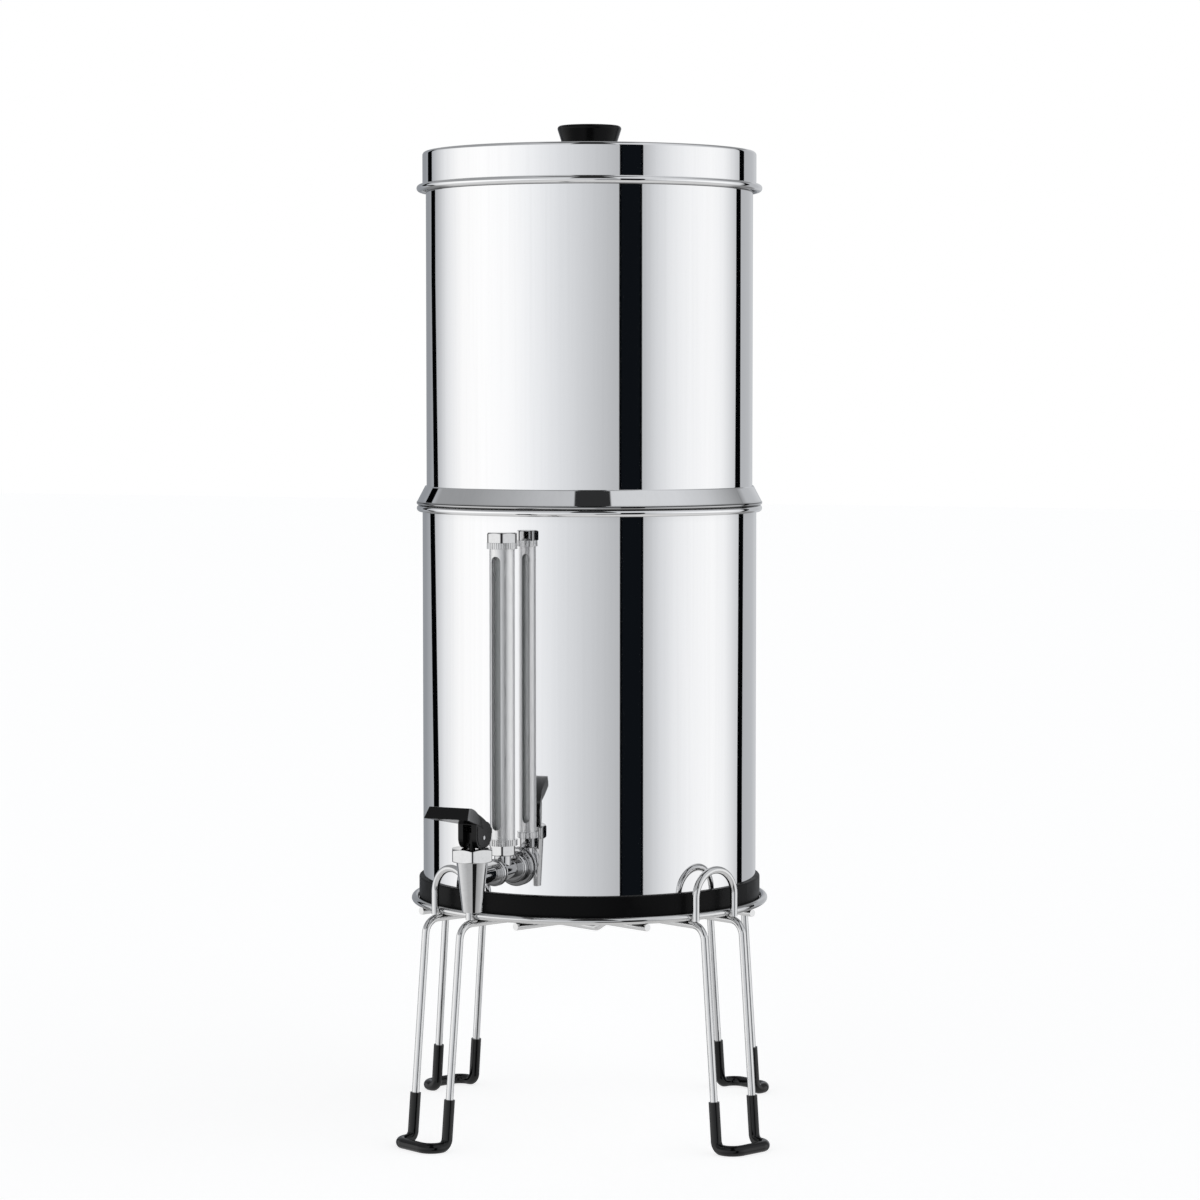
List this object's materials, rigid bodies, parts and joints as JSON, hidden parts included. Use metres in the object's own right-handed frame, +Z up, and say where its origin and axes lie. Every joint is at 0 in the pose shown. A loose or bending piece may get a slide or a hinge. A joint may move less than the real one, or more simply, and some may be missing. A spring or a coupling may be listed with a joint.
{
  "type": "gravity water filter",
  "caption": "Polished steel gravity water filter: stacked vessels on a bent-wire stand, lever tap with level gauge, domed lid with knob.",
  "frame": {"origin": "the vessels' axis at floor level", "axes": "+Z up, -Y towards the tap, +X to the right seen from the tap's side"},
  "size_m": [0.2966, 0.3598, 0.6594],
  "materials": {
    "wire_steel": "polished",
    "sleeve_rubber": "satin",
    "polished_steel": "mirror polished",
    "tap_steel": "polished, slightly soft",
    "ring_rubber": "satin",
    "gasket_rubber": "matte",
    "clear_glass": "clear",
    "spring_steel": "bright",
    "white_silicone": "satin",
    "lever_plastic": "satin",
    "pin_steel": "polished",
    "knob_plastic": "gloss",
    "screw_steel": "satin",
    "filter_ceramic": "matte",
    "filter_plastic": "matte"
  },
  "bodies": {
    "stand": {"stand_hoop": "wire_steel", "leg_loop_upper": "wire_steel", "leg_loop_lower": "wire_steel", "deck_wire_upper_a": "wire_steel", "deck_wire_upper_b": "wire_steel", "deck_wire_lower_a": "wire_steel", "deck_wire_lower_b": "wire_steel", "arch_a": "wire_steel", "arch_b": "wire_steel", "arch_c": "wire_steel", "arch_d": "wire_steel", "foot_sleeve_a": "sleeve_rubber", "foot_sleeve_b": "sleeve_rubber", "foot_sleeve_c": "sleeve_rubber", "foot_sleeve_d": "sleeve_rubber"},
    "lower_vessel_group": {"lower_vessel": "polished_steel", "base_ring": "ring_rubber", "tap_inner_nut": "tap_steel", "tap_inner_gasket": "gasket_rubber", "tap_outer_gasket": "gasket_rubber", "tap_flange": "tap_steel", "tap_ring_nut": "tap_steel", "tap_tee": "tap_steel", "tap_coupling_ring": "tap_steel", "spout_body": "tap_steel", "bonnet": "tap_steel", "valve_spring": "spring_steel", "gauge_base": "tap_steel", "gauge_ring_lower": "tap_steel", "gauge_guard_tube": "tap_steel", "gauge_glass_tube": "clear_glass", "gauge_seal_lower": "gasket_rubber", "gauge_seal_upper": "gasket_rubber", "gauge_ring_upper": "tap_steel", "gauge_cap": "tap_steel"},
    "tap_valve": {"valve_stem": "lever_plastic", "valve_seal": "white_silicone"},
    "tap_lever_group": {"tap_lever": "lever_plastic", "lever_pin": "pin_steel"},
    "upper_vessel_group": {"upper_vessel": "polished_steel", "locating_skirt": "polished_steel", "filter_block_left": "filter_ceramic", "filter_block_right": "filter_ceramic", "filter_cap_left": "filter_plastic", "filter_cap_right": "filter_plastic", "filter_base_left": "filter_plastic", "filter_base_right": "filter_plastic", "filter_seal_left": "gasket_rubber", "filter_seal_right": "gasket_rubber", "wing_nut_left": "filter_plastic", "wing_nut_right": "filter_plastic"},
    "lid_group": {"lid": "polished_steel", "lid_knob": "knob_plastic", "knob_screw": "screw_steel", "knob_washer": "screw_steel"}
  },
  "joints": [
    {"name": "lower_vessel_lift", "type": "slide", "parent": "stand", "child": "lower_vessel_group", "axis": [0, 0, 1], "range_m": [0, 0.05]},
    {"name": "upper_vessel_lift", "type": "slide", "parent": "lower_vessel_group", "child": "upper_vessel_group", "axis": [0, 0, 1], "range_m": [0, 0.08]},
    {"name": "lid_lift", "type": "slide", "parent": "upper_vessel_group", "child": "lid_group", "axis": [0, 0, 1], "range_m": [0, 0.06]},
    {"name": "valve_lift", "type": "slide", "parent": "lower_vessel_group", "child": "tap_valve", "axis": [0, 0, 1], "range_m": [0, 0.00153], "deforming": ["valve_spring"]},
    {"name": "lever_tilt", "type": "hinge", "parent": "tap_valve", "child": "tap_lever_group", "pos_m": [0, -0.1718, 0.2082], "axis": [1, 0, 0], "range_deg": [0, 25], "stiffness_Nm_per_rad": 0.06, "springref_deg": -11.46}
  ],
  "couplings": [
    {"joint": "lever_tilt", "follows": "valve_lift", "rad_per_m": 285}
  ]
}
